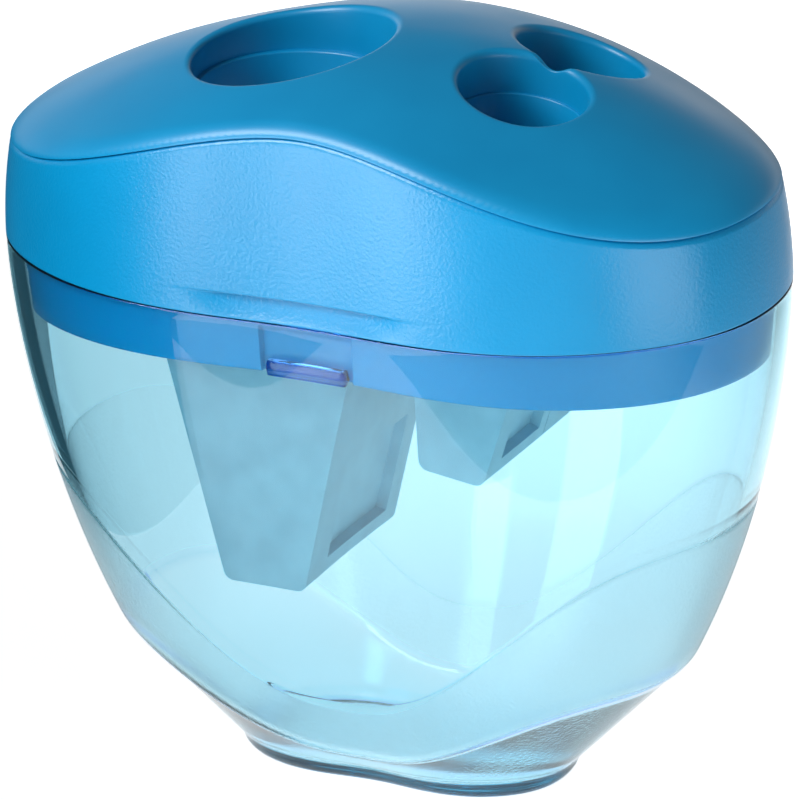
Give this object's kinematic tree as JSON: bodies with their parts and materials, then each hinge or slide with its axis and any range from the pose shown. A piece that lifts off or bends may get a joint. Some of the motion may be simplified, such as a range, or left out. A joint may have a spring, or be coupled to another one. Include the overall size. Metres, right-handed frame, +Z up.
{
  "type": "container pencil sharpener",
  "caption": "Hand-held pencil sharpener: a clear shavings container under a blue domed lid with a jumbo hole and a pair of standard holes, each over its own blade.",
  "frame": {"origin": "middle of the flat base, where the sharpener stands", "axes": "+Z up, the front with the finger hollow towards -Y, the pair of standard holes towards +X"},
  "size_m": [0.06, 0.0318, 0.057],
  "materials": {
    "clear_plastic": "polished clear polystyrene tinted aqua, with a frosted band near its foot",
    "blue_pebbled": "finely pebbled moulded plastic",
    "blue_satin": "satin moulded plastic",
    "blue_plain": "plain moulded plastic",
    "sharpener_plastic": "satin moulded plastic, pale blue-grey",
    "blade_steel": "ground",
    "screw_steel": "zinc plated"
  },
  "bodies": {
    "container": {"container": "clear_plastic"},
    "lid": {"lid_band": "blue_pebbled", "top_cover": "blue_satin", "guide_frame": "blue_plain", "jumbo_collar": "blue_plain", "pair_roof": "blue_plain", "left_rail": "blue_plain", "right_rail": "blue_plain", "jumbo_body": "sharpener_plastic", "jumbo_blade": "blade_steel", "jumbo_screw": "screw_steel", "graphite_body": "sharpener_plastic", "graphite_blade": "blade_steel", "graphite_screw": "screw_steel", "colour_body": "sharpener_plastic", "colour_blade": "blade_steel", "colour_screw": "screw_steel"}
  },
  "joints": [
    {"name": "lid_lift", "type": "slide", "parent": "container", "child": "lid", "axis": [0, 0, 1], "range_m": [0, 0.045]}
  ]
}
